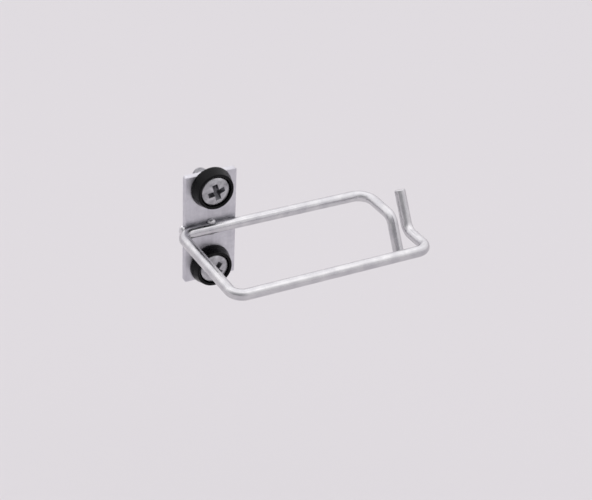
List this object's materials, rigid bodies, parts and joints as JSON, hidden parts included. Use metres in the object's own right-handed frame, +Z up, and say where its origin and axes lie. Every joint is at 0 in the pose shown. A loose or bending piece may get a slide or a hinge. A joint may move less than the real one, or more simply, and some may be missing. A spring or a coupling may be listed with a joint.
{
  "type": "rack d-ring cable hook",
  "caption": "Horizontal wire D-ring cable hook for a rack post: a ring of bent wire with an open, overlapping mouth, welded across a steel strip and screwed on through cup washers.",
  "frame": {"origin": "middle of the plate's back face, half way between the two screws", "axes": "+Y points back into the post along the screws, +X runs along the rack's front to the ring's open end, +Z is up"},
  "size_m": [0.08, 0.0583, 0.0474],
  "materials": {
    "plate_zinc": "zinc-plated steel strip, satin",
    "wire_bright": "bright zinc-plated drawn wire, smooth and shiny",
    "washer_black": "black moulded nylon, slightly satin",
    "screw_zinc": "bright zinc-plated steel"
  },
  "bodies": {
    "root": {"mounting_plate": "plate_zinc", "wire_ring": "wire_bright", "cup_washer_upper": "washer_black", "cup_washer_lower": "washer_black", "screw_upper": "screw_zinc", "screw_lower": "screw_zinc"}
  },
  "joints": []
}
